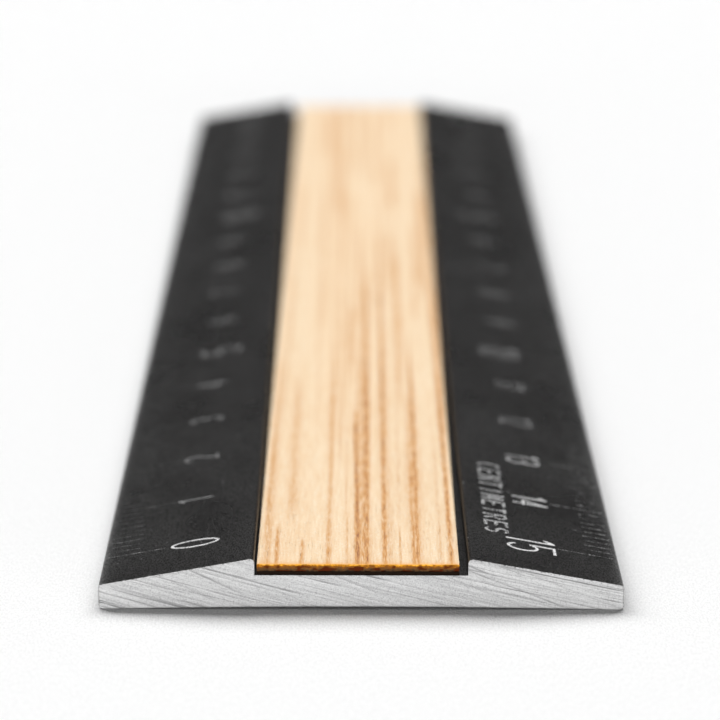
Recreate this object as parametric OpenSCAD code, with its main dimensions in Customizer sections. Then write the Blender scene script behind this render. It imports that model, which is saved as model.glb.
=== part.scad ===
// Pocket ruler: a black anodised aluminium extrusion with two bevelled edges.
// A strip of wood veneer lies in a shallow groove along its middle, on a film of adhesive.
// The underside is slightly hollow, so the ruler rests on its two long edges.
// Both bevels carry a centimetre scale, and each scale reads from its own side of the ruler.
//
// Frame: the origin is the centre of the underside, X runs across the ruler, Y runs along it
// and Z points up. The saw-cut end at -Y is where the left-hand scale starts.
// The markings are thin solids that lie on the bevels, in place of laser marks.

/* [Body] */
// Length between the two saw-cut ends
body_l = 160; // [156:1:200]
// Width across both edges
body_w = 30; // [26:0.5:40]
// Height at which each bevel would meet its groove wall
ridge_h = 3; // [2.85:0.05:3.6]
// Height of the straight outer edges
edge_h = 1.4; // [0.9:0.05:1.6]
// Radius of the two long corners on the underside
foot_r = 0.25; // [0.1:0.05:0.5]
// Width of the flat foot along each long edge, with its rounded corner
foot_w = 0.8; // [0.7:0.05:2]
// Height of the hollow in the middle of the underside
hollow_h = 0.15; // [0.05:0.05:0.2]
// Radius where a bevel meets an outer edge
edge_r = 0.15; // [0.1:0.05:0.2]
// Radius where a bevel meets its groove wall
ridge_r = 0.25; // [0.1:0.05:0.5]

/* [Groove and inlay] */
// Width of the groove
groove_w = 12.2; // [11.8:0.1:12.6]
// Height of the groove's floor above the underside
floor_h = 2; // [1.5:0.05:2.1]
// Width of the wooden strip
strip_w = 11.55; // [8:0.05:11.55]
// Thickness of the wooden strip
strip_t = 0.44; // [0.3:0.02:0.6]
// Thickness of the adhesive film under the strip
film_t = 0.2; // [0.05:0.01:0.2]
// How far each end of the strip stands back from the end of the body
strip_setback = 0.1; // [0:0.05:1]
// Sideways shift of the strip in its groove
strip_shift = 0.05; // [0:0.01:0.05]
// Small turn of the strip in its groove, in degrees, because it is laid in by hand
strip_turn = 0.17; // [0:0.01:0.17]

/* [Scale] */
// Number of centimetres on each scale
scale_cm = 15; // [5:1:15]
// Width of a scale line
line_w = 0.08; // [0.06:0.02:0.3]
// Distance from the outer edge to the start of every scale line
line_start = 0.25; // [0.25:0.05:0.5]
// Distance from the outer edge to the end of a millimetre line
millimetre_end = 2; // [1:0.05:2.2]
// Distance from the outer edge to the end of a half-centimetre line
half_end = 2.55; // [2.3:0.05:2.8]
// Distance from the outer edge to the end of a centimetre line
centimetre_end = 3.7; // [3:0.05:3.7]
// How far the scales sit to the right of the ruler's middle
print_shift_x = 0.12; // [0:0.01:0.15]
// How far the scales sit towards +Y from the ruler's middle
print_shift_y = 0.4; // [0:0.1:1]
// Thickness of all the markings
mark_t = 0.02; // [0.02:0.01:0.05]

/* [Numbers] */
// Distance from the outer edge to the tops of the numbers
number_top = 3.85; // [3.85:0.05:4]
// Height of the numbers 0, 5, 10 and 15
major_h = 2.9; // [2:0.05:3]
// Height of the other numbers
minor_h = 2.15; // [1.5:0.05:2.5]

/* [Unit name] */
// Height of the letters in the unit's name
letter_h = 1.45; // [1:0.05:1.5]
// Distance from one letter to the next
letter_pitch = 1.5; // [1.3:0.05:1.6]
// Distance from the outer edge to the tops of the letters
letter_top = 6.4; // [6:0.05:6.5]
// Distance from the middle of the ruler to the middle of the name
name_place = 65.2; // [40:0.2:66]

/* [Hidden] */
$fn = 64;

// The bevel
bevel_run = (body_w - groove_w) / 2;
bevel_angle = atan((ridge_h - edge_h) / bevel_run);

// Digits and letters are drawn one unit high
digit_w = 0.52;
digit_pitch = 0.55;
digit_stroke = 0.06;
letter_w = 0.7;
letter_stroke = 0.13;
arc_steps = 20;
unit_word = ["C", "E", "N", "T", "I", "M", "E", "T", "R", "E", "S"];

// ---- Outlines ----

function unit(v) = v / norm(v);
function left_of(v) = [-v[1], v[0]];

// Points on an ellipse's arc, from one angle to another
function arc(centre, radius, from, to) = [
    for (i = [0:arc_steps])
        let (a = from + (to - from) * i / arc_steps)
            centre + [radius[0] * cos(a), radius[1] * sin(a)]
];

// The direction across a path at point i, long enough for a mitred corner
function mitre(path, i) =
    let (
        ahead = i < len(path) - 1 ? unit(path[i + 1] - path[i]) : unit(path[i] - path[i - 1]),
        behind = i > 0 ? unit(path[i] - path[i - 1]) : ahead,
        across = unit(left_of(ahead) + left_of(behind))
    )
    across / (across * left_of(ahead));

// A line of even width along a path
module stroke(path, width) {
    left_side = [for (i = [0:len(path) - 1]) path[i] + mitre(path, i) * width / 2];
    right_side = [for (i = [len(path) - 1:-1:0]) path[i] - mitre(path, i) * width / 2];
    polygon(concat(left_side, right_side));
}

// A closed elliptical line, with its radii measured to the middle of the line
module ring(centre, radius, width) {
    half = [width, width] / 2;
    outer = [for (a = [0:10:350]) centre + [(radius + half)[0] * cos(a), (radius + half)[1] * sin(a)]];
    inner = [for (a = [0:10:350]) centre + [(radius - half)[0] * cos(a), (radius - half)[1] * sin(a)]];
    difference() {
        polygon(outer);
        polygon(inner);
    }
}

// ---- Digits, one unit high ----

// Limits of the middle of a digit's line
low = digit_stroke / 2;
high = 1 - low;
right = digit_w - low;
middle = digit_w / 2;
half_w = middle - low;

module digit_line(path) {
    stroke(path, digit_stroke);
}

module digit_0() {
    ring([middle, 0.5], [half_w, 0.5 - low], digit_stroke);
}

module digit_1() {
    stem_x = 0.29;
    flag_w = 0.17;
    digit_line([[stem_x, 0], [stem_x, 1]]);
    polygon([
        [stem_x + low, 1],
        [stem_x - low, 1],
        [stem_x - low - flag_w, 0.86],
        [stem_x - low - flag_w, 0.76],
        [stem_x, 0.9],
    ]);
}

module digit_2() {
    bowl_h = 0.27;
    foot_x = 0.1;
    digit_line(concat(
        arc([middle, high - bowl_h], [half_w, bowl_h], 165, -35),
        [[foot_x, low], [digit_w, low]]
    ));
}

module digit_3() {
    upper_h = 0.215;
    lower_h = high / 2 - low / 2 - upper_h;
    digit_line(arc([middle, high - upper_h], [half_w - 0.02, upper_h], 155, -90));
    digit_line(arc([middle, low + lower_h], [half_w, lower_h], 90, -155));
}

module digit_4() {
    stem_x = 0.38;
    bar_y = 0.3;
    digit_line([[stem_x, 0], [stem_x, 1]]);
    digit_line([[stem_x, high], [0.06, bar_y], [digit_w, bar_y]]);
}

module digit_5() {
    bowl_h = 0.295;
    digit_line([[right, high], [low + 0.02, high], [low + 0.01, 0.47]]);
    digit_line(arc([middle, low + bowl_h], [half_w, bowl_h], 148, -150));
}

module digit_6() {
    bowl_h = 0.28;
    ring([middle, low + bowl_h], [half_w, bowl_h], digit_stroke);
    digit_line(arc([right, 0.38], [right - low, high - 0.38], 180, 100));
}

module digit_7() {
    digit_line([[0, high], [right, high], [0.18, 0]]);
}

module digit_8() {
    waist = 0.54;
    ring([middle, waist / 2 + low / 2], [half_w, waist / 2 - low / 2], digit_stroke);
    ring([middle, (waist + high) / 2], [half_w - 0.025, (high - waist) / 2], digit_stroke);
}

module digit_9() {
    translate([digit_w, 1]) rotate(180) digit_6();
}

module digit(d) {
    if (d == 0) digit_0();
    if (d == 1) digit_1();
    if (d == 2) digit_2();
    if (d == 3) digit_3();
    if (d == 4) digit_4();
    if (d == 5) digit_5();
    if (d == 6) digit_6();
    if (d == 7) digit_7();
    if (d == 8) digit_8();
    if (d == 9) digit_9();
}

// A whole number, centred on its own middle, with its foot at y = 0
module number(value, height) {
    digits = value < 10 ? [value] : [floor(value / 10), value % 10];
    gap = digit_pitch - digit_w;
    start = -len(digits) * digit_pitch / 2 + gap / 2;
    scale(height)
        for (i = [0:len(digits) - 1])
            translate([start + i * digit_pitch, 0]) digit(digits[i]);
}

// ---- Letters, one unit high ----

letter_low = letter_stroke / 2;
letter_high = 1 - letter_low;
letter_right = letter_w - letter_low;
letter_mid = letter_w / 2;
letter_half = letter_mid - letter_low;

module letter_line(path) {
    stroke(path, letter_stroke);
}

module letter_c() {
    letter_line(arc([letter_mid, 0.5], [letter_half, letter_half + 0.15], 50, 310));
}

module letter_e() {
    letter_line([
        [letter_w, letter_high],
        [letter_low, letter_high],
        [letter_low, letter_low],
        [letter_w, letter_low],
    ]);
    letter_line([[letter_low, 0.5], [0.6, 0.5]]);
}

module letter_n() {
    letter_line([[letter_low, 0], [letter_low, 1]]);
    letter_line([[letter_right, 0], [letter_right, 1]]);
    letter_line([[letter_low, letter_high], [letter_right, letter_low]]);
}

module letter_t() {
    letter_line([[letter_mid, 0], [letter_mid, letter_high]]);
    letter_line([[0, letter_high], [letter_w, letter_high]]);
}

module letter_i() {
    letter_line([[letter_mid, 0], [letter_mid, 1]]);
}

module letter_m() {
    letter_line([[letter_low, 0], [letter_low, 1]]);
    letter_line([[letter_right, 0], [letter_right, 1]]);
    letter_line([[letter_low, letter_high], [letter_mid, 0.4], [letter_right, letter_high]]);
}

module letter_r() {
    bowl_h = 0.22;
    letter_line([[letter_low, 0], [letter_low, 1]]);
    letter_line(concat(
        [[letter_low, letter_high]],
        arc([0.4, letter_high - bowl_h], [letter_right - 0.4, bowl_h], 90, -90),
        [[letter_low, letter_high - 2 * bowl_h]]
    ));
    letter_line([[letter_mid, letter_high - 2 * bowl_h], [letter_right, 0.04]]);
}

module letter_s() {
    bowl_h = letter_high / 2 - letter_low / 2;
    upper = arc([letter_mid, letter_high - bowl_h / 2], [letter_half, bowl_h / 2], 30, 270);
    lower = arc([letter_mid, letter_low + bowl_h / 2], [letter_half, bowl_h / 2], 90, -150);
    letter_line(upper);
    letter_line(lower);
}

module letter(name) {
    if (name == "C") letter_c();
    if (name == "E") letter_e();
    if (name == "N") letter_n();
    if (name == "T") letter_t();
    if (name == "I") letter_i();
    if (name == "M") letter_m();
    if (name == "R") letter_r();
    if (name == "S") letter_s();
}

// ---- Body ----

// The point on the line from one corner to another where a corner's rounding begins
function tangent(corner, towards, reach) = corner + unit(towards - corner) * reach;

// Half the angle between the two lines that meet at a corner
function half_angle(before, corner, after) =
    acos(unit(before - corner) * unit(after - corner)) / 2;

// A polygon with each convex corner rounded by its own radius
module rounded_polygon(corners, radii) {
    n = len(corners);
    cut = [
        for (i = [0:n - 1])
            let (
                before = corners[(i + n - 1) % n],
                after = corners[(i + 1) % n],
                reach = radii[i] / tan(half_angle(before, corners[i], after))
            )
            each [tangent(corners[i], before, reach), tangent(corners[i], after, reach)]
    ];
    polygon(cut);
    for (i = [0:n - 1]) {
        before = corners[(i + n - 1) % n];
        after = corners[(i + 1) % n];
        inward = unit(unit(before - corners[i]) + unit(after - corners[i]));
        translate(corners[i] + inward * radii[i] / sin(half_angle(before, corners[i], after)))
            circle(radii[i]);
    }
}

// Cross-section of one half of the body, from the middle of the ruler to the right-hand edge.
// The square covers the wedge's fourth corner, which lies inside the body.
module half_profile() {
    wall = groove_w / 2;
    edge = body_w / 2;
    rounded_polygon(
        [[wall, 0], [edge, 0], [edge, edge_h], [wall, ridge_h]],
        [foot_r, foot_r, edge_r, ridge_r]
    );
    square([wall + foot_r, floor_h]);
}

// The hollow in the underside: an arc from foot to foot, and a margin below it
module underside_hollow() {
    span = body_w / 2 - foot_w;
    radius = (span * span + hollow_h * hollow_h) / (2 * hollow_h);
    reach = asin(span / radius);
    margin = 1;
    polygon(concat(
        arc([0, hollow_h - radius], [radius, radius], 90 + reach, 90 - reach),
        [[span, -margin], [-span, -margin]]
    ));
}

module extruded_body() {
    color("dimgray")
        translate([0, body_l / 2, 0])
            rotate([90, 0, 0])
                linear_extrude(body_l)
                    difference() {
                        union() {
                            half_profile();
                            mirror([1, 0]) half_profile();
                        }
                        underside_hollow();
                    }
}

// ---- Inlay ----

// A flat strip in the groove, between two heights
module groove_strip(bottom, thickness) {
    translate([strip_shift, 0, bottom])
        rotate([0, 0, -strip_turn])
            translate([-strip_w / 2, strip_setback - body_l / 2, 0])
                cube([strip_w, body_l - 2 * strip_setback, thickness]);
}

module adhesive_film() {
    color("black") groove_strip(floor_h, film_t);
}

module wood_strip() {
    color("burlywood") groove_strip(floor_h + film_t, strip_t);
}

// ---- Markings ----

// Puts children on the left-hand bevel as if it were a page: x is the direction in which
// the scale reads, y = 0 is the outer edge with -y towards the groove, and z is off the surface
module on_left_bevel() {
    translate([-body_w / 2, 0, edge_h])
        rotate([0, -bevel_angle, 0])
            rotate([0, 0, 90])
                children();
}

module on_right_bevel() {
    rotate([0, 0, 180]) on_left_bevel() children();
}

// Where a millimetre of the scale lies along a bevel. Side is 1 on the left and -1 on the right.
function place(mm, side) = mm - scale_cm * 5 + side * print_shift_y;

// Scale lines from one millimetre on, in steps, without those that a longer line covers
module scale_lines(side, first, step, covered, end) {
    shifted_end = end + side * print_shift_x;
    for (mm = [first:step:scale_cm * 10])
        if (covered == 0 || mm % covered != 0)
            translate([place(mm, side) - line_w / 2, -shifted_end, 0])
                cube([line_w, shifted_end - line_start, mark_t]);
}

module centimetre_lines(side) {
    scale_lines(side, 0, 10, 0, centimetre_end);
}

module half_centimetre_lines(side) {
    scale_lines(side, 5, 10, 0, half_end);
}

module millimetre_lines(side) {
    scale_lines(side, 1, 1, 5, millimetre_end);
}

module numbers(side) {
    for (value = [0:scale_cm]) {
        height = value % 5 == 0 ? major_h : minor_h;
        translate([place(value * 10, side), -number_top - side * print_shift_x - height, 0])
            linear_extrude(mark_t)
                number(value, height);
    }
}

module unit_name_mark() {
    count = len(unit_word);
    start = name_place - count * letter_pitch / 2 + (letter_pitch - letter_w * letter_h) / 2;
    for (i = [0:count - 1])
        translate([start + i * letter_pitch, -letter_top - letter_h, 0])
            linear_extrude(mark_t)
                scale(letter_h)
                    letter(unit_word[i]);
}

module left_centimetre_lines() {
    color("white") on_left_bevel() centimetre_lines(1);
}

module left_half_centimetre_lines() {
    color("white") on_left_bevel() half_centimetre_lines(1);
}

module left_millimetre_lines() {
    color("white") on_left_bevel() millimetre_lines(1);
}

module left_numbers() {
    color("white") on_left_bevel() numbers(1);
}

module right_centimetre_lines() {
    color("white") on_right_bevel() centimetre_lines(-1);
}

module right_half_centimetre_lines() {
    color("white") on_right_bevel() half_centimetre_lines(-1);
}

module right_millimetre_lines() {
    color("white") on_right_bevel() millimetre_lines(-1);
}

module right_numbers() {
    color("white") on_right_bevel() numbers(-1);
}

module unit_name() {
    color("white") on_right_bevel() unit_name_mark();
}

extruded_body();
adhesive_film();
wood_strip();
left_centimetre_lines();
left_half_centimetre_lines();
left_millimetre_lines();
left_numbers();
right_centimetre_lines();
right_half_centimetre_lines();
right_millimetre_lines();
right_numbers();
unit_name();
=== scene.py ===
"""Looks of the pocket ruler: sawn and anodised body, wood strip, adhesive and white markings.

Everything is in metres in the CAD frame: X across, Y along, Z up, origin under the middle.
Names that end in _mm, and the grain sizes of a material's noise, are in millimetres.
The body and the wood strip are rebuilt as finer meshes on the CAD outline, with their relief
in the mesh. The adhesive and the markings keep their CAD shape and get a material here.
"""

import math

import bpy
import numpy as np
from mathutils import Euler, Matrix, Vector


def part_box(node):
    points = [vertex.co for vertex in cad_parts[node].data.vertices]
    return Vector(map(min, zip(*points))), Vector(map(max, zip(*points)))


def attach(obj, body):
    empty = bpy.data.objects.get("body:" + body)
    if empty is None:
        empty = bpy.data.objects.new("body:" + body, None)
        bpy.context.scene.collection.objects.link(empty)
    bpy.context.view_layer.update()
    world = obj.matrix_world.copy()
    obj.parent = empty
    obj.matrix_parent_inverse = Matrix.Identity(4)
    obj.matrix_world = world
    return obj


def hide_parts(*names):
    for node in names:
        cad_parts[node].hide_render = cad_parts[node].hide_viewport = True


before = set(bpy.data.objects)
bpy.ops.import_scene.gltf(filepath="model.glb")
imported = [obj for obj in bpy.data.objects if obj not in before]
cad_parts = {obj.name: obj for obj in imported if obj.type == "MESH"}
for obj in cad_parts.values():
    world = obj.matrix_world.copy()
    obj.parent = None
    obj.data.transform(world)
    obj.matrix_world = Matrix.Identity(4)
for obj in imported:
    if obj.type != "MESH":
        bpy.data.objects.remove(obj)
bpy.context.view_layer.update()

MM = 0.001
# Points closer together than this count as touching
TOUCH = 0.001 * MM
MARKS = [
    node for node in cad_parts
    if "lines" in node or "numbers" in node or node == "unit_name"
]


# ---- Smooth fields, for relief in the meshes ----

def blend_weight(share):
    """Turns a straight 0 to 1 share into one that starts and ends gently."""
    return share * share * (3 - 2 * share)


def noise_along(places, spacing, rng):
    """Smooth random values from -1 to 1 along a line, with a new value every spacing."""
    steps = (places - places.min()) / spacing
    index = steps.astype(int)
    values = rng.uniform(-1, 1, index.max() + 2)
    weight = blend_weight(steps - index)
    return values[index] * (1 - weight) + values[index + 1] * weight


def noise_over(across, along, spacing_across, spacing_along, rng):
    """Smooth random values from -1 to 1 over a plane, on a grid with its own spacing each way."""
    steps_across = (across - across.min()) / spacing_across
    steps_along = (along - along.min()) / spacing_along
    i = steps_across.astype(int)
    j = steps_along.astype(int)
    values = rng.uniform(-1, 1, (i.max() + 2, j.max() + 2))
    weight_across = blend_weight(steps_across - i)
    weight_along = blend_weight(steps_along - j)
    near = values[i, j] * (1 - weight_across) + values[i + 1, j] * weight_across
    far = values[i, j + 1] * (1 - weight_across) + values[i + 1, j + 1] * weight_across
    return near * (1 - weight_along) + far * weight_along


def shown_between(places, start, end, fade):
    """Rises from 0 at the start to 1, and falls back to 0 at the end, each over the fade."""
    return np.clip((places - start) / fade, 0, 1) * np.clip((end - places) / fade, 0, 1)


def bell(places, middle, reach):
    """1 at the middle and about a third at the reach, with a rounded top."""
    return np.exp(-(((places - middle) / reach) ** 2))


def fall_off(distance, reach):
    """1 at no distance and about a third at the reach, with its steepest fall first."""
    return np.exp(-distance / reach)


# ---- Meshes ----

def graded(low, high, fine, coarse, growth):
    """Places from low to high, close together at both ends and further apart in the middle."""
    steps = [0.0]
    step = fine
    while steps[-1] < (high - low) / 2:
        steps.append(steps[-1] + step)
        step = min(step * growth, coarse)
    half = np.array(steps) * (high - low) / 2 / steps[-1]
    return np.concatenate([low + half, (high - half[:-1])[::-1]])


def section_block(columns, low, high, rows):
    """A grid of section points, from low(x) to high(x) at each column, and its faces."""
    share = np.linspace(0, 1, rows + 1)[:, None]
    z = low + share * (high - low)
    x = np.broadcast_to(columns, z.shape)
    points = np.stack([x.ravel(), z.ravel()], axis=1)
    n = len(columns)
    faces = [
        (r * n + c, r * n + c + 1, (r + 1) * n + c + 1, (r + 1) * n + c)
        for r in range(rows)
        for c in range(n - 1)
    ]
    return points, faces


def join_blocks(blocks):
    """Puts section blocks together, with the points they share merged."""
    points = np.concatenate([p for p, _ in blocks])
    offsets = np.cumsum([0] + [len(p) for p, _ in blocks[:-1]])
    faces = np.concatenate([np.array(f) + offset for (_, f), offset in zip(blocks, offsets)])
    unique, index = np.unique(points.round(9), axis=0, return_inverse=True)
    return unique, index.ravel()[faces]


def outer_edges(faces):
    """The edges of a section that only one face uses, each with the section on its left."""
    edges = {(f[k], f[(k + 1) % 4]) for f in faces.tolist() for k in range(4)}
    return [(a, b) for a, b in edges if (b, a) not in edges]


def extrude_section(points, faces, stations):
    """A closed mesh with the section at both ends. Returns its vertices, faces and face kinds.

    A face's kind is 1 on the two ends and 0 along the sides. The stations are its places along Y.
    """
    edges = sorted(outer_edges(faces))
    rim = sorted({a for a, _ in edges})
    rim_place = {v: k for k, v in enumerate(rim)}
    count = len(points)
    last = count + (len(stations) - 2) * len(rim)

    def at(y, chosen):
        return np.stack([chosen[:, 0], np.full(len(chosen), y), chosen[:, 1]], axis=1)

    layers = [at(stations[0], points)]
    layers += [at(y, points[rim]) for y in stations[1:-1]]
    layers += [at(stations[-1], points)]
    vertices = np.concatenate(layers)

    def vertex(point, station):
        if station == 0:
            return point
        if station == len(stations) - 1:
            return last + point
        return count + (station - 1) * len(rim) + rim_place[point]

    ends = [tuple(f) for f in faces.tolist()]
    ends += [tuple(last + v for v in reversed(f)) for f in faces.tolist()]
    sides = [
        (vertex(a, s), vertex(a, s + 1), vertex(b, s + 1), vertex(b, s))
        for s in range(len(stations) - 1)
        for a, b in edges
    ]
    return vertices, ends + sides, [1] * len(ends) + [0] * len(sides)


def mesh_piece(name, vertices, faces, kinds, materials, sharp_angle):
    """Makes a smooth-shaded object whose faces take the material of their kind."""
    mesh = bpy.data.meshes.new(name)
    mesh.from_pydata(vertices.tolist(), [], faces)
    for material in materials:
        mesh.materials.append(material)
    mesh.polygons.foreach_set("material_index", kinds)
    mesh.shade_smooth()
    mesh.set_sharp_from_angle(angle=math.radians(sharp_angle))
    mesh.update()
    piece = bpy.data.objects.new(name, mesh)
    bpy.context.scene.collection.objects.link(piece)
    return piece


def hand_over(piece, node, fields):
    """Stores each field for the piece's material to read, and puts the piece in a CAD node's place.

    A field holds one number per vertex.
    """
    for name, values in fields.items():
        attribute = piece.data.attributes.new(name, "FLOAT", "POINT")
        attribute.data.foreach_set("value", np.asarray(values, np.float32))
    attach(piece, "root")
    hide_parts(node)


# ---- Materials ----

# Sockets of a Mix node that blends colours: its share, its two colours and its result
MIX_SHARE = 0
MIX_FIRST = 6
MIX_SECOND = 7
MIX_RESULT = 2


def grey(value):
    """A grey colour, from 0 for black to 1 for white."""
    return (value, value, value, 1)


# Colours, in linear light
SKIN_DARK = (0.001, 0.0009, 0.0009, 1)
SKIN_LIGHT = (0.026, 0.0244, 0.024, 1)
DUST = grey(0.2)
# Lighter grey of the long top edges: partly rubbing wear, partly a painted reflection of the floor on
# their rounding
RUB_AND_SHEEN_GREY = grey(0.22)
# Painted shade: the groove gets darker towards its floor
GROOVE_SHADE = (0.005, 0.004, 0.0035, 1)
BARE_EDGE = grey(0.62)
METAL_SMEARED = grey(0.40)
METAL_CLEAN = grey(0.475)
METAL_LINED = grey(0.21)
METAL_CROSSED = grey(0.19)
METAL_BRIGHT = grey(0.57)
METAL_SPOTTED = grey(0.18)
METAL_CUT = grey(0.09)
METAL_DARK_RIM = grey(0.05)
WOOD_WARM = (0.88, 0.63, 0.385, 1)
WOOD_CREAM = (0.92, 0.76, 0.53, 1)
WOOD_PALE = (0.93, 0.83, 0.68, 1)
WOOD_FIBRE = (0.76, 0.46, 0.22, 1)
WOOD_TAN = (0.66, 0.325, 0.105, 1)
WOOD_BROWN = (0.34, 0.13, 0.045, 1)
WOOD_PORE = (0.36, 0.16, 0.06, 1)
WOOD_SCORCHED = (0.86, 0.40, 0.07, 1)
CHARRED_DARK = (0.03, 0.018, 0.011, 1)
CHARRED_LIGHT = (0.12, 0.055, 0.018, 1)
OCHRE = (0.27, 0.09, 0.009, 1)
AMBER = (0.85, 0.38, 0.025, 1)
AMBER_EDGE = (0.92, 0.57, 0.19, 1)
PIT = (0.08, 0.014, 0.002, 1)
ADHESIVE_DARK = (0.003, 0.0012, 0.0006, 1)
ADHESIVE_LIGHT = (0.02, 0.012, 0.007, 1)
MARK_WORN = grey(0.02)
PAPER_DARK = grey(0.85)
PAPER_LIGHT = grey(0.97)


class Shader:
    """A node material being put together, with sizes given in millimetres."""

    def __init__(self, name):
        self.material = bpy.data.materials.new(name)
        self.material.use_nodes = True
        self.tree = self.material.node_tree
        self.surface = self.tree.nodes["Principled BSDF"]
        self.coordinates = self.add("ShaderNodeTexCoord").outputs["Object"]

    def add(self, kind, settings=None, inputs=None):
        """Adds a node, sets its properties, and sets or links its inputs."""
        node = self.tree.nodes.new(kind)
        for key, value in (settings or {}).items():
            setattr(node, key, value)
        for key, value in (inputs or {}).items():
            self.feed(node.inputs[key], value)
        return node

    def feed(self, socket, value):
        """Links another node's output to a socket, or sets the socket to a plain value."""
        if isinstance(value, bpy.types.NodeSocket):
            self.tree.links.new(value, socket)
        else:
            socket.default_value = value

    def set(self, **inputs):
        """Sets or links inputs of the surface, such as Base_Color."""
        for key, value in inputs.items():
            self.feed(self.surface.inputs[key.replace("_", " ")], value)

    def attribute(self, name):
        """A field that is stored in the piece's mesh."""
        return self.add("ShaderNodeAttribute", {"attribute_name": name}).outputs["Fac"]

    def noise(self, grain_mm, detail=3, roughness=0.55, distortion=0.0, turn=0.0):
        """Noise whose grains measure grain_mm along X, Y and Z, turned about Y by some degrees."""
        turned = self.add("ShaderNodeMapping", inputs={
            "Vector": self.coordinates, "Rotation": (0, math.radians(turn), 0),
        })
        sized = self.add("ShaderNodeMapping", inputs={
            "Vector": turned.outputs["Vector"], "Scale": [1 / (g * MM) for g in grain_mm],
        })
        texture = self.add("ShaderNodeTexNoise", inputs={
            "Vector": sized.outputs["Vector"], "Scale": 1, "Detail": detail,
            "Roughness": roughness, "Distortion": distortion,
        })
        return texture.outputs["Fac"]

    def specks(self, spacing_mm, share):
        """Specks scattered at random, 1 inside and 0 outside. Three in ten places have none.

        The share is the part of the spacing that the widest speck reaches from its middle.
        """
        sized = self.add("ShaderNodeMapping", inputs={
            "Vector": self.coordinates, "Scale": [1 / (g * MM) for g in spacing_mm],
        })
        texture = self.add("ShaderNodeTexVoronoi", inputs={
            "Vector": sized.outputs["Vector"], "Scale": 1,
        })
        colour = self.add("ShaderNodeSeparateColor", inputs={"Color": texture.outputs["Color"]})
        reach = self.ramp(colour.outputs["Red"], 0.3, 1.0, 0.0, share)
        return self.math("LESS_THAN", texture.outputs["Distance"], reach)

    def ramp(self, value, low, high, to_low=0.0, to_high=1.0):
        """Maps a value between low and high, and holds it beyond them."""
        return self.add("ShaderNodeMapRange", inputs={
            "Value": value, "From Min": low, "From Max": high, "To Min": to_low, "To Max": to_high,
        }).outputs["Result"]

    def math(self, operation, a, b):
        """Arithmetic on two values."""
        return self.add("ShaderNodeMath", {"operation": operation}, {0: a, 1: b}).outputs[0]

    def mix(self, share, a, b):
        """Blends two colours."""
        node = self.add("ShaderNodeMix", {"data_type": "RGBA"})
        self.feed(node.inputs[MIX_SHARE], share)
        self.feed(node.inputs[MIX_FIRST], a)
        self.feed(node.inputs[MIX_SECOND], b)
        return node.outputs[MIX_RESULT]

    def bump(self, height, depth_mm, under=None):
        """Relief of a given depth, on top of another bump when under is given."""
        node = self.add("ShaderNodeBump", inputs={
            "Height": height, "Distance": depth_mm * MM, "Strength": 1,
        })
        if under is not None:
            self.feed(node.inputs["Normal"], under)
        return node.outputs["Normal"]


def anodised_black():
    """Satin black skin with etched grain, draw lines and dust.

    It has painted shade in the groove, its long edges get partly rubbing and partly a painted
    reflection, and it is worn to metal at its cut ones.
    """
    shader = Shader("anodised_black")
    grain = shader.noise((0.07, 0.22, 0.07), detail=2)
    draw_lines = shader.noise((0.12, 60, 0.12), detail=2)
    patches = shader.noise((4, 9, 4), detail=2)
    skin = shader.mix(shader.ramp(grain, 0.38, 0.65), SKIN_DARK, SKIN_LIGHT)
    dusty = shader.mix(shader.specks((0.7, 1.6, 0.7), 0.09), skin, DUST)
    # Lighter along the long top edges: partly rubbing wear, partly a painted reflection of the floor
    rub_and_sheen = shader.math("MULTIPLY", shader.attribute("rub_and_sheen"), shader.ramp(grain, 0.35, 0.65, 0.4, 1.0))
    rubbed_and_sheened = shader.mix(rub_and_sheen, dusty, RUB_AND_SHEEN_GREY)
    # Painted shade: the groove gets darker towards its floor
    groove_shaded = shader.mix(shader.attribute("groove_shade"), rubbed_and_sheened, GROOVE_SHADE)
    worn = shader.attribute("wear")
    shader.set(
        Base_Color=shader.mix(worn, groove_shaded, BARE_EDGE),
        Metallic=shader.ramp(worn, 0.3, 0.7),
        Specular_IOR_Level=shader.ramp(grain, 0.38, 0.65, 0.019, 0.095),
        Roughness=shader.ramp(patches, 0.3, 0.7, 0.26, 0.32),
        Normal=shader.bump(grain, 0.007, shader.bump(draw_lines, 0.0015)),
    )
    return shader.material


def sawn_aluminium():
    """Bare metal of the cut ends: the saw's deeper lines are in the mesh, and finer ones in here."""
    shader = Shader("sawn_aluminium")
    fine = shader.noise((4, 1, 0.05), detail=2, roughness=0.6, turn=-SAW_SLOPE)
    coarse = shader.noise((7, 1, 0.13), detail=2, turn=-SAW_SLOPE)
    smear = shader.noise((5, 1, 0.45), detail=2, turn=-CROSS_SLOPE)
    speckle = shader.noise((0.06, 0.06, 0.06), detail=1)
    metal = shader.mix(shader.ramp(smear, 0.3, 0.7), METAL_SMEARED, METAL_CLEAN)
    lined = shader.mix(shader.ramp(fine, 0.50, 0.34, 0, 0.45), metal, METAL_LINED)
    crossed = shader.mix(shader.ramp(coarse, 0.42, 0.32, 0, 0.5), lined, METAL_CROSSED)
    bright = shader.mix(shader.ramp(speckle, 0.45, 0.7, 0, 0.5), crossed, METAL_BRIGHT)
    spotted = shader.mix(shader.ramp(speckle, 0.42, 0.3, 0, 0.5), bright, METAL_SPOTTED)
    sawn = shader.mix(shader.attribute("cut"), spotted, METAL_CUT)
    chips = shader.noise((0.15, 1, 0.12), detail=2)
    chipped = shader.math("MULTIPLY", shader.attribute("rim"), shader.ramp(chips, 0.55, 0.6))
    skin = shader.math("MULTIPLY", shader.attribute("skin"), 0.85)
    shader.set(
        Base_Color=shader.mix(shader.math("MAXIMUM", skin, chipped), sawn, METAL_DARK_RIM),
        Metallic=0.9,
        Roughness=shader.ramp(fine, 0.3, 0.7, 0.5, 0.62),
        Normal=shader.bump(fine, 0.006),
    )
    return shader.material


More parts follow.
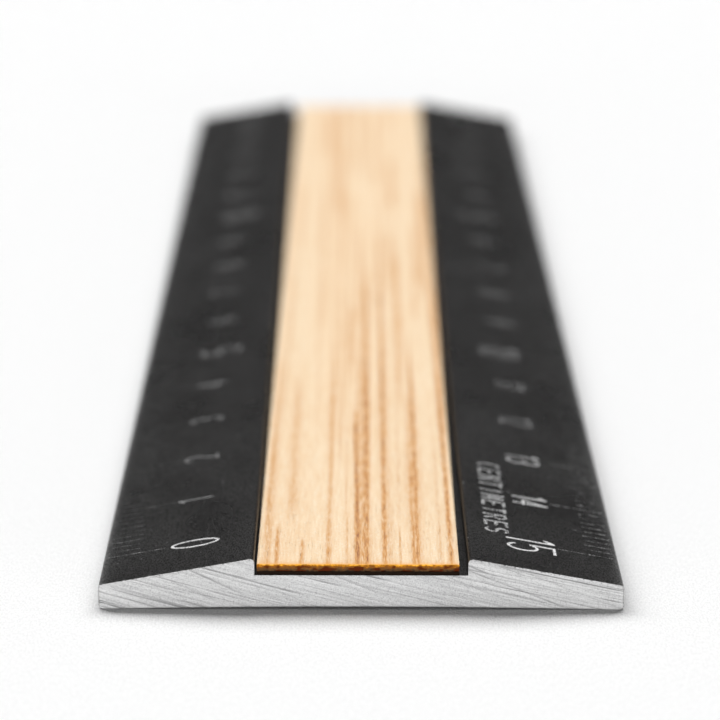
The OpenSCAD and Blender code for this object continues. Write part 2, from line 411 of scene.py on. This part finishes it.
def veneer():
    """Face of the wood: cream, with tan to brown streaks, fine fibres and short open pores."""
    shader = Shader("veneer")
    streak = shader.attribute("streak")
    tone = shader.noise((1.6, 55, 5), detail=2, distortion=0.3)
    fibre = shader.noise((0.1, 3, 0.1), detail=3, roughness=0.65)
    pore = shader.ramp(shader.noise((0.075, 1.6, 0.075), detail=1), 0.66, 0.74)
    speckle = shader.noise((0.07, 0.25, 0.07), detail=1)
    ground = shader.mix(tone, WOOD_WARM, WOOD_CREAM)
    speckled = shader.mix(shader.ramp(speckle, 0.5, 0.7, 0, 0.75), ground, WOOD_PALE)
    fibrous = shader.mix(shader.ramp(fibre, 0.35, 0.65, 0, 0.42), speckled, WOOD_FIBRE)
    threads = shader.noise((0.07, 1.2, 0.07), detail=1)
    broken = shader.math("MULTIPLY", streak, shader.ramp(threads, 0.3, 0.7, 0.4, 1.5))
    tan = shader.mix(shader.ramp(broken, 0, 0.55), fibrous, WOOD_TAN)
    brown = shader.mix(shader.ramp(broken, 0.6, 1.1), tan, WOOD_BROWN)
    dark_pore = shader.math("MULTIPLY", pore, shader.ramp(streak, 0, 0.5, 0.12, 0.7))
    pored = shader.mix(dark_pore, brown, WOOD_PORE)
    scorched = shader.mix(shader.attribute("scorch"), pored, WOOD_SCORCHED)
    height = shader.math("SUBTRACT", fibre, shader.math("MULTIPLY", pore, 0.8))
    shader.set(
        Base_Color=scorched,
        Roughness=shader.ramp(fibre, 0.3, 0.7, 0.62, 0.78),
        Specular_IOR_Level=0.12,
        Normal=shader.bump(height, 0.018),
    )
    return shader.material


def scorched_end():
    """End grain of the wood: amber at its top edge, brown lower down and dark in its pores."""
    shader = Shader("scorched_end")
    mottle = shader.noise((0.22, 0.3, 0.12), detail=3, roughness=0.65)
    level = shader.math("ADD", shader.attribute("rise"), shader.ramp(mottle, 0.3, 0.7, -0.2, 0.2))
    lower = shader.mix(shader.ramp(level, 0.0, 0.3), CHARRED_DARK, CHARRED_LIGHT)
    middle = shader.mix(shader.ramp(level, 0.35, 0.7), lower, OCHRE)
    upper = shader.mix(shader.ramp(level, 0.68, 0.95), middle, AMBER)
    edge = shader.mix(shader.ramp(level, 0.95, 1.15), upper, AMBER_EDGE)
    shader.set(
        Base_Color=shader.mix(shader.attribute("pit"), edge, PIT),
        Roughness=0.7,
        Specular_IOR_Level=0.05,
        Normal=shader.bump(mottle, 0.02),
    )
    return shader.material


def dark_adhesive():
    """Dark, slightly tacky-looking film."""
    shader = Shader("dark_adhesive")
    lumps = shader.noise((0.2, 0.6, 0.08), detail=3)
    shader.set(
        Base_Color=shader.mix(lumps, ADHESIVE_DARK, ADHESIVE_LIGHT),
        Specular_IOR_Level=0.02,
        Roughness=shader.ramp(lumps, 0.3, 0.7, 0.4, 0.7),
        Normal=shader.bump(lumps, 0.02),
    )
    return shader.material


# A marking fades as its Y less FADE_LEAN times its X goes from the start to the end of the fade
FADE_START = -67 * MM
FADE_END = -57 * MM
FADE_LEAN = 0.8
FADED_SHARE = 0.33


def white_mark(name, cover, whiteness):
    """Fine white marking. The black shows through it, and more so away from the -Y and +X corner.

    The cover says how much of the black it hides, and the whiteness how white it is there.
    """
    shader = Shader(name)
    speckle = shader.noise((0.07, 0.14, 0.07), detail=2, roughness=0.6)
    patches = shader.noise((0.5, 0.35, 0.5), detail=2)
    place = shader.add("ShaderNodeSeparateXYZ", inputs={"Vector": shader.coordinates}).outputs
    lean = shader.math("MULTIPLY", place["X"], FADE_LEAN)
    from_corner = shader.math("SUBTRACT", place["Y"], lean)
    kept = shader.ramp(from_corner, FADE_START, FADE_END, 1.0, FADED_SHARE)
    level = shader.math("ADD", shader.ramp(speckle, 0.3, 0.7, -0.5, 0.5), patches)
    shown = shader.math("MULTIPLY", shader.ramp(level, 0.85 - cover, 1.2 - cover), kept)
    shader.set(
        Base_Color=shader.mix(shown, MARK_WORN, grey(whiteness)),
        Roughness=0.6,
        Specular_IOR_Level=0.05,
        Normal=shader.bump(speckle, 0.005),
    )
    return shader.material


def paper_white():
    """Matt white surface the ruler lies on."""
    shader = Shader("paper_white")
    tooth = shader.noise((0.11, 0.35, 0.11), detail=2)
    shader.set(
        Base_Color=shader.mix(shader.ramp(tooth, 0.35, 0.65), PAPER_DARK, PAPER_LIGHT),
        Roughness=1.0,
        Specular_IOR_Level=0.0,
        Normal=shader.bump(tooth, 0.06),
    )
    return shader.material


# ---- Body ----

# Slopes in degrees, down to +X, of most of the saw's lines and of the ones that cross them
SAW_SLOPE = 14.0
CROSS_SLOPE = 23.0
# The lines are parts of large arcs
SAW_RADIUS = 330 * MM
SAW_DEPTH = 0.02 * MM
# Families of cuts: number, slope, deepest of them from 0 to 1, and widest in millimetres
CUTS = [
    (120, SAW_SLOPE, 1.0, 0.045),
    (50, CROSS_SLOPE, 0.8, 0.045),
    (420, SAW_SLOPE, 0.4, 0.03),
]
NARROWEST_CUT_MM = 0.02
SHALLOWEST_SHARE = 0.3
# Cuts start up to this far before the end's left side, and have these lengths
CUT_LEAD_MM = 6
CUT_LENGTHS_MM = (2, 14)
CUT_FADE_MM = 1.5
# The lines waver together, and each one's depth chatters
CUT_WAVER_MM = 0.02
WAVER_SPACING_MM = 2.5
CHATTER_SHARE = 0.25
CHATTER_SPACINGS_MM = (0.3, 1.5)
# How far wear, rubbing with its painted reflection, the dark skin and its chips reach in from an edge
WEAR_REACH = 0.05 * MM
RUB_AND_SHEEN_REACH = 0.18 * MM
SKIN_REACH = 0.03 * MM
CHIP_REACH = 0.07 * MM
# The long edges get rubbing and a painted reflection above this height
RUB_AND_SHEEN_ABOVE = 1.15 * MM
# The painted shade in the groove fades out at this height above its floor
GROOVE_SHADE_HEIGHT = 0.4 * MM
# The cut edges are worn where the noise of the nicks is high
NICK_SPACING = 0.12 * MM
NICK_GAIN = 1.6
NICK_OFFSET = 0.3
# Grid of the section: distance between its columns, and rows below and above the groove's floor.
# It keeps the body's mesh just under 200,000 triangles.
BODY_COLUMN = 0.09 * MM
LOWER_ROWS = 47
UPPER_ROWS = 24


def cad_points(node):
    """The vertices of a CAD node."""
    return np.array([v.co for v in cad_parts[node].data.vertices], float)


def outline_chains(node):
    """The right half of a node's section at its -Y end, as the points of its upper and lower sides.

    The height of the groove's floor comes with them, and isn't among the upper side's points.
    """
    points = cad_points(node)
    at_end = points[:, 1] < points[:, 1].min() + TOUCH
    section = np.unique(points[at_end][:, [0, 2]].round(8), axis=0)
    right = section[section[:, 0] > 0]
    edge = right[right[:, 0] > right[:, 0].max() - TOUCH]
    upper = right[right[:, 1] > edge[:, 1].max() - TOUCH]
    from_middle = section[section[:, 0] > -TOUCH]
    lower = from_middle[from_middle[:, 1] < edge[:, 1].min() + TOUCH]
    at_wall = upper[:, 0] < upper[:, 0].min() + TOUCH
    floor_z = upper[at_wall, 1].min()
    is_floor = at_wall & (upper[:, 1] < floor_z + TOUCH)
    return upper[~is_floor], lower, floor_z


def body_section(upper, lower, floor_z):
    """The body's whole cross-section as a grid of points and faces."""
    wall_x = upper[0, 0]
    edge_x = upper[-1, 0]
    fill = np.arange(wall_x, edge_x, BODY_COLUMN)
    places = np.concatenate([upper[:, 0], lower[:, 0], fill])
    bevel = np.unique(places[places > wall_x - TOUCH].round(8))
    groove = np.linspace(-wall_x, wall_x, int(2 * wall_x / BODY_COLUMN))
    columns = np.unique(np.concatenate([-bevel, groove, bevel]).round(8))

    def underside(x):
        return np.interp(np.abs(x), lower[:, 0], lower[:, 1])

    def top(x):
        return np.interp(np.abs(x), upper[:, 0], upper[:, 1])

    def shelf(x):
        """The groove's floor, carried on through both bevels."""
        share = floor_z / upper[0, 1]
        under_bevel = underside(x) + share * (top(x) - underside(x))
        return np.where(np.abs(x) < wall_x + TOUCH, floor_z, under_bevel)

    return join_blocks([
        section_block(columns, underside(columns), shelf(columns), LOWER_ROWS),
        section_block(bevel, shelf(bevel), top(bevel), UPPER_ROWS),
        section_block(-bevel[::-1], shelf(bevel[::-1]), top(bevel[::-1]), UPPER_ROWS),
    ])


def one_cut(from_centre, along, deepest, widest, rng):
    """Depth of one saw line, which fades in and out along its arc and varies with the chatter."""
    place = rng.uniform(from_centre.min(), from_centre.max())
    start = rng.uniform(along.min() - CUT_LEAD_MM, along.max())
    end = start + rng.uniform(*CUT_LENGTHS_MM)
    shown = shown_between(along, start, end, CUT_FADE_MM)
    chatter = noise_along(along, rng.uniform(*CHATTER_SPACINGS_MM), rng)
    profile = bell(from_centre, place, rng.uniform(NARROWEST_CUT_MM, widest))
    depth = rng.uniform(SHALLOWEST_SHARE, 1) * deepest
    return depth * shown * (1 - CHATTER_SHARE + CHATTER_SHARE * chatter) * profile


def saw_cuts(x, z, rng):
    """Depth of the saw's cuts on an end, from 0 on the untouched surface to 1 at the deepest."""
    depth = np.zeros(len(x))
    for count, slope, deepest, widest in CUTS:
        lean = math.sin(math.radians(slope))
        rise = math.cos(math.radians(slope))
        from_centre = np.hypot(x - SAW_RADIUS * lean, z - SAW_RADIUS * rise) / MM
        along = (x * rise - z * lean) / MM
        from_centre += CUT_WAVER_MM * noise_along(along, WAVER_SPACING_MM, rng)
        for _ in range(count):
            depth = np.maximum(depth, one_cut(from_centre, along, deepest, widest, rng))
    return depth


def saw_ends(vertices, low_y, high_y, rng):
    """Sinks the saw's cuts into both ends. Returns the depth of the cut at each vertex, from 0 to 1."""
    cut = np.zeros(len(vertices))
    for end, inward in ((low_y, 1), (high_y, -1)):
        on_end = np.abs(vertices[:, 1] - end) < TOUCH
        cut[on_end] = saw_cuts(vertices[on_end, 0], vertices[on_end, 2], rng)
        vertices[on_end, 1] += inward * SAW_DEPTH * cut[on_end]
    return cut


def outline_fields(x, z, upper, lower, floor_z):
    """Fields that follow the outline: the ends' dark rim and its chips, edges with rubbing and a
    painted reflection, and painted shade in the groove.
    """
    from_side = upper[-1, 0] - np.abs(x)
    from_underside = z - np.interp(np.abs(x), lower[:, 0], lower[:, 1])
    from_bevel = np.interp(np.abs(x), upper[:, 0], upper[:, 1]) - z
    on_bevel = np.abs(x) > upper[0, 0] - TOUCH
    in_groove = (np.abs(x) < upper[0, 0] + TOUCH) & (z > floor_z - TOUCH)
    return {
        "skin": fall_off(np.minimum(from_side, from_underside), SKIN_REACH),
        "rim": fall_off(from_bevel, CHIP_REACH) * on_bevel,
        # Partly rubbing wear and partly a painted reflection on the rounded long top edges
        "rub_and_sheen": fall_off(from_side, RUB_AND_SHEEN_REACH) * (z > RUB_AND_SHEEN_ABOVE),
        # Painted shade in the groove, strongest at its floor
        "groove_shade": in_groove * np.clip(1 - (z - floor_z) / GROOVE_SHADE_HEIGHT, 0, 1),
    }


def build_body():
    """The extruded bar: CAD outline, sawn ends with relief, and slightly worn cut edges."""
    rng = np.random.default_rng(3)
    low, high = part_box("extruded_body")
    outline = outline_chains("extruded_body")
    points, faces = body_section(*outline)
    stations = graded(low.y, high.y, fine=0.04 * MM, coarse=5 * MM, growth=1.7)
    vertices, faces, kinds = extrude_section(points, faces, stations)
    cut = saw_ends(vertices, low.y, high.y, rng)
    x, y, z = vertices.T
    nicks = noise_over(x, z, NICK_SPACING, NICK_SPACING, rng)
    from_end = np.minimum(y - low.y, high.y - y)
    wear = np.clip(nicks * NICK_GAIN - NICK_OFFSET, 0, 1) * fall_off(from_end, WEAR_REACH)
    materials = [anodised_black(), sawn_aluminium()]
    piece = mesh_piece("ruler_body", vertices, faces, kinds, materials, sharp_angle=40)
    fields = {"cut": cut, "wear": wear, **outline_fields(x, z, *outline)}
    hand_over(piece, "extruded_body", fields)


# ---- Wood strip ----

# Streaks that cross the -Y end, in millimetres: place across the strip, width, strength from 0
# to 1, and how far from that end they stop
END_STREAKS = [
    (-4.75, 0.14, 0.90, 9),
    (-3.30, 0.12, 0.80, 6),
    (-1.72, 0.13, 0.60, 60),
    (-0.70, 0.06, 0.45, 12),
    (-0.08, 0.15, 1.00, 40),
    (0.34, 0.09, 0.90, 70),
    (0.52, 0.13, 1.00, 90),
    (1.58, 0.16, 1.00, 100),
    (2.45, 0.05, 0.60, 9),
    (3.20, 0.08, 0.80, 30),
    (3.50, 0.12, 0.95, 60),
    (4.85, 0.10, 0.35, 30),
    (5.35, 0.17, 0.95, 80),
    (-5.30, 0.20, 0.35, 50),
    (0.25, 0.38, 0.50, 60),
    (1.65, 0.30, 0.45, 60),
    (3.45, 0.38, 0.45, 45),
]
# Streaks that start anywhere, from before the -Y end to short of the other one
RANDOM_STREAKS = 46
STARTS_BEFORE_MM = 10
STARTS_SHORT_MM = 15
PLACES_MM = (-5.7, 5.7)
WIDTHS_MM = (0.05, 0.3)
STRENGTHS = (0.1, 0.55)
LENGTHS_MM = (20, 110)
# How far a streak strays sideways, and the shares by which its width and strength vary
WANDER_MM = 0.1
WANDER_SPACING_MM = 35
WIDTH_SHARE = 0.3
WIDTH_SPACING_MM = 18
STRENGTH_SHARE = 0.2
STRENGTH_SPACING_MM = 12
# One dark fleck in the grain: its place across and along the strip, its reach each way and strength
FLECK_PLACE_MM = (3.3, 18.8)
FLECK_REACH_MM = (0.22, 0.6)
FLECK_STRENGTH = 1.3
# Grid of the strip's section
WOOD_COLUMN = 0.09 * MM
WOOD_ROWS = 10
# Relief of the strip's face
STREAK_DEPTH = 0.02 * MM
SWELL_DEPTH = 0.006 * MM
SWELL_SPACINGS = (0.5 * MM, 12 * MM)
END_SINK = 0.015 * MM
END_SINK_REACH = 0.06 * MM
EDGE_SINK = 0.03 * MM
EDGE_SINK_REACH = 0.12 * MM
# Relief of its ends: ragged all over, with pits where the noise of the pores is high
RAGGED_DEPTH = 0.07 * MM
RAGGED_SPACINGS = (0.25 * MM, 0.12 * MM)
PIT_DEPTH = 0.06 * MM
PORE_SPACINGS = (0.3 * MM, 0.13 * MM)
PORE_GAIN = 4
PORE_THRESHOLD = 0.15
# The face is browned next to the ends
SCORCH_REACH = 0.3 * MM
SCORCH_SHARE = 0.85


def scattered_streaks(length_mm, rng):
    """Streaks at random places: place across the strip, width, strength, start and end."""
    streaks = []
    for _ in range(RANDOM_STREAKS):
        start = rng.uniform(-STARTS_BEFORE_MM, length_mm - STARTS_SHORT_MM)
        streaks.append((
            rng.uniform(*PLACES_MM), rng.uniform(*WIDTHS_MM), rng.uniform(*STRENGTHS),
            start, start + rng.uniform(*LENGTHS_MM),
        ))
    return streaks


def one_streak(u, v, streak, rng):
    """Strength of one streak, which wanders, swells and fades along the strip."""
    place, width, strength, start, end = streak
    middle = place + WANDER_MM * noise_along(v, WANDER_SPACING_MM, rng)
    breadth = width * (1 + WIDTH_SHARE * noise_along(v, WIDTH_SPACING_MM, rng))
    shown = shown_between(v, start, end, fade=0.15 * (end - start) + 1)
    vary = 1 - STRENGTH_SHARE + STRENGTH_SHARE * noise_along(v, STRENGTH_SPACING_MM, rng)
    return strength * shown * vary * bell(u, middle, breadth)


def streak_field(u, v, rng):
    """Strength of the darker grain, at u across the strip and v along it from its -Y end.

    Both are in millimetres.
    """
    # These start far enough before the end to be at full strength on it
    streaks = [
        (place, width, strength, -0.2 * end - 2, end)
        for place, width, strength, end in END_STREAKS
    ]
    streaks += scattered_streaks(v.max(), rng)
    field = np.zeros(len(u))
    for streak in streaks:
        field = np.maximum(field, one_streak(u, v, streak, rng))
    across = bell(u, FLECK_PLACE_MM[0], FLECK_REACH_MM[0])
    along = bell(v, FLECK_PLACE_MM[1], FLECK_REACH_MM[1])
    return np.maximum(field, FLECK_STRENGTH * across * along)


def strip_place(node):
    """Width, length and heights of a strip, with the turn and shift that put it in its groove."""
    points = cad_points(node)
    near = points[points[:, 1] < 0]
    start = near.mean(0)
    end = points[points[:, 1] > 0].mean(0)
    run = end - start
    left = near[near[:, 0] < start[0]].mean(0)
    right = near[near[:, 0] > start[0]].mean(0)
    width = np.linalg.norm((right - left)[:2])
    length = np.linalg.norm(run[:2])
    place = Matrix.Translation(((start + end) / 2 * (1, 1, 0)).tolist())
    turn = Matrix.Rotation(math.atan2(-run[0], run[1]), 4, "Z")
    return width, length, points[:, 2].min(), points[:, 2].max(), place @ turn


def sink_face(vertices, rise, streak, from_side, from_end, rng):
    """Lowers the strip's face along its streaks, its worn long edges and its ends."""
    swell = noise_over(vertices[:, 0], vertices[:, 1], *SWELL_SPACINGS, rng)
    worn_edge = np.clip(1 - from_side / EDGE_SINK_REACH, 0, 1)
    sink = STREAK_DEPTH * streak + SWELL_DEPTH * (1 + swell) + EDGE_SINK * worn_edge ** 2
    sink += END_SINK * fall_off(from_end, END_SINK_REACH)
    on_face = np.isclose(rise, 1)
    vertices[on_face, 2] -= sink[on_face]


def roughen_wood_ends(vertices, rise, from_end, rng):
    """Makes the strip's ends ragged and pitted. Returns how far each vertex is in a pit."""
    pit = np.zeros(len(vertices))
    for sign in (-1, 1):
        on_end = (from_end < TOUCH) & (sign * vertices[:, 1] > 0)
        x, _, z = vertices[on_end].T
        ragged = (1 + noise_over(x, z, *RAGGED_SPACINGS, rng)) / 2
        pores = noise_over(x, z, *PORE_SPACINGS, rng)
        below_top = 1 - rise[on_end] ** 4
        pit[on_end] = np.clip((pores - PORE_THRESHOLD) * PORE_GAIN, 0, 1) * below_top
        depth = RAGGED_DEPTH * ragged + PIT_DEPTH * pit[on_end]
        vertices[on_end, 1] -= sign * depth
    return pit


def build_wood():
    """The veneer strip: grain relief on its face, ragged and pitted ends."""
    rng = np.random.default_rng(8)
    width, length, bottom, top, place = strip_place("wood_strip")
    columns = np.linspace(-width / 2, width / 2, int(width / WOOD_COLUMN) + 1)
    lower = np.full(len(columns), bottom)
    upper = np.full(len(columns), top)
    points, faces = join_blocks([section_block(columns, lower, upper, WOOD_ROWS)])
    stations = graded(-length / 2, length / 2, fine=0.12 * MM, coarse=1.1 * MM, growth=1.04)
    vertices, faces, kinds = extrude_section(points, faces, stations)
    rise = (vertices[:, 2] - bottom) / (top - bottom)
    from_side = width / 2 - np.abs(vertices[:, 0])
    from_end = length / 2 - np.abs(vertices[:, 1])
    streak = streak_field(vertices[:, 0] / MM, (vertices[:, 1] + length / 2) / MM, rng)
    sink_face(vertices, rise, streak, from_side, from_end, rng)
    pit = roughen_wood_ends(vertices, rise, from_end, rng)
    materials = [veneer(), scorched_end()]
    piece = mesh_piece("wood_inlay", vertices, faces, kinds, materials, sharp_angle=50)
    piece.data.transform(place)
    scorch = SCORCH_SHARE * fall_off(from_end, SCORCH_REACH)
    fields = {"streak": streak, "pit": pit, "rise": rise, "scorch": scorch}
    hand_over(piece, "wood_strip", fields)


# ---- Carried-over nodes ----

def finish_cad_nodes():
    """Gives the adhesive and the markings their materials. Finer markings are more worn."""
    numbers = white_mark("white_numbers", cover=0.8, whiteness=0.8)
    long_lines = white_mark("white_long_lines", cover=0.35, whiteness=0.45)
    fine_lines = white_mark("white_fine_lines", cover=0.34, whiteness=0.42)
    letters = white_mark("white_letters", cover=0.55, whiteness=0.6)
    for node in MARKS:
        mark = letters if node == "unit_name" else numbers
        if "lines" in node:
            mark = fine_lines if "millimetre" in node or "half" in node else long_lines
        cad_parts[node].data.materials[0] = mark
    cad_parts["adhesive_film"].data.materials[0] = dark_adhesive()


# ---- Stage ----

FLOOR_SIZE = 30.0
# Greys of the surround: as it lights the ruler, and as the camera sees it
SURROUND_LIGHT = grey(0.02)
SURROUND_SEEN = grey(0.93)
# The camera stands in front of the -Y end and looks a little down along the ruler
CAMERA_OFFSET = Vector((-0.82, -214.6, 64.55)) * MM
# Angles in degrees, and lens and aperture in millimetres
CAMERA_PITCH = 13.1
CAMERA_YAW = 0.19
CAMERA_ROLL = 0.16
LENS = 195.8
APERTURE = 3.3
NEAREST_SEEN = 10 * MM
FOCUS_BEHIND_END = 1.0 * MM


def build_floor():
    """A wide flat sheet at the height of the ruler's feet."""
    mesh = bpy.data.meshes.new("floor")
    half = FLOOR_SIZE / 2
    corners = [(-half, -half, 0), (half, -half, 0), (half, half, 0), (-half, half, 0)]
    mesh.from_pydata(corners, [], [(0, 1, 2, 3)])
    mesh.materials.append(paper_white())
    floor = bpy.data.objects.new("floor", mesh)
    bpy.context.scene.collection.objects.link(floor)


def upright_panel(name, x, y, bottom, top, width, radiance):
    """A soft upright panel, parallel to the ruler's ends and shining towards the ruler.

    Its middle is at x and y, and it reaches from bottom to top.
    """
    light = bpy.data.lights.new(name, "AREA")
    light.shape = "RECTANGLE"
    light.size = width
    light.size_y = top - bottom
    light.energy = radiance * math.pi * light.size * light.size_y
    panel = bpy.data.objects.new(name, light)
    panel.location = (x, y, (bottom + top) / 2)
    panel.rotation_euler.x = math.copysign(math.pi / 2, -y)
    bpy.context.scene.collection.objects.link(panel)


def build_lights():
    """A wide window behind the ruler and to its left, a low panel in front and a dim surround."""
    upright_panel("window", x=-3, y=8, bottom=4.3, top=20.5, width=20, radiance=5.8)
    upright_panel("front_fill", x=0, y=-4, bottom=0.02, top=0.5, width=8, radiance=18)
    world = bpy.data.worlds.new("studio")
    world.use_nodes = True
    tree = world.node_tree
    background = tree.nodes["Background"]
    seen = tree.nodes.new("ShaderNodeLightPath").outputs["Is Camera Ray"]
    shade = tree.nodes.new("ShaderNodeMix")
    shade.data_type = "RGBA"
    tree.links.new(seen, shade.inputs[MIX_SHARE])
    shade.inputs[MIX_FIRST].default_value = SURROUND_LIGHT
    shade.inputs[MIX_SECOND].default_value = SURROUND_SEEN
    tree.links.new(shade.outputs[MIX_RESULT], background.inputs["Color"])
    bpy.context.scene.world = world


def build_camera():
    """A long lens at the place and angle fitted to the photo, focused on the ruler's near end."""
    low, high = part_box("extruded_body")
    end = Vector((0, low.y, 0))
    data = bpy.data.cameras.new("camera")
    data.lens = LENS
    data.clip_start = NEAREST_SEEN
    data.dof.use_dof = True
    data.dof.aperture_fstop = LENS / APERTURE
    focus = bpy.data.objects.new("focus", None)
    focus.location = end + Vector((0, FOCUS_BEHIND_END, high.z / 2))
    bpy.context.scene.collection.objects.link(focus)
    data.dof.focus_object = focus
    camera = bpy.data.objects.new("camera", data)
    aim = Euler((math.radians(90 - CAMERA_PITCH), 0, -math.radians(CAMERA_YAW))).to_matrix().to_4x4()
    roll = Matrix.Rotation(math.radians(CAMERA_ROLL), 4, "Z")
    camera.matrix_world = Matrix.Translation(end + CAMERA_OFFSET) @ aim @ roll
    bpy.context.scene.collection.objects.link(camera)
    bpy.context.scene.camera = camera


build_body()
build_wood()
finish_cad_nodes()
build_floor()
build_lights()
build_camera()
bpy.context.scene.view_settings.view_transform = "Standard"
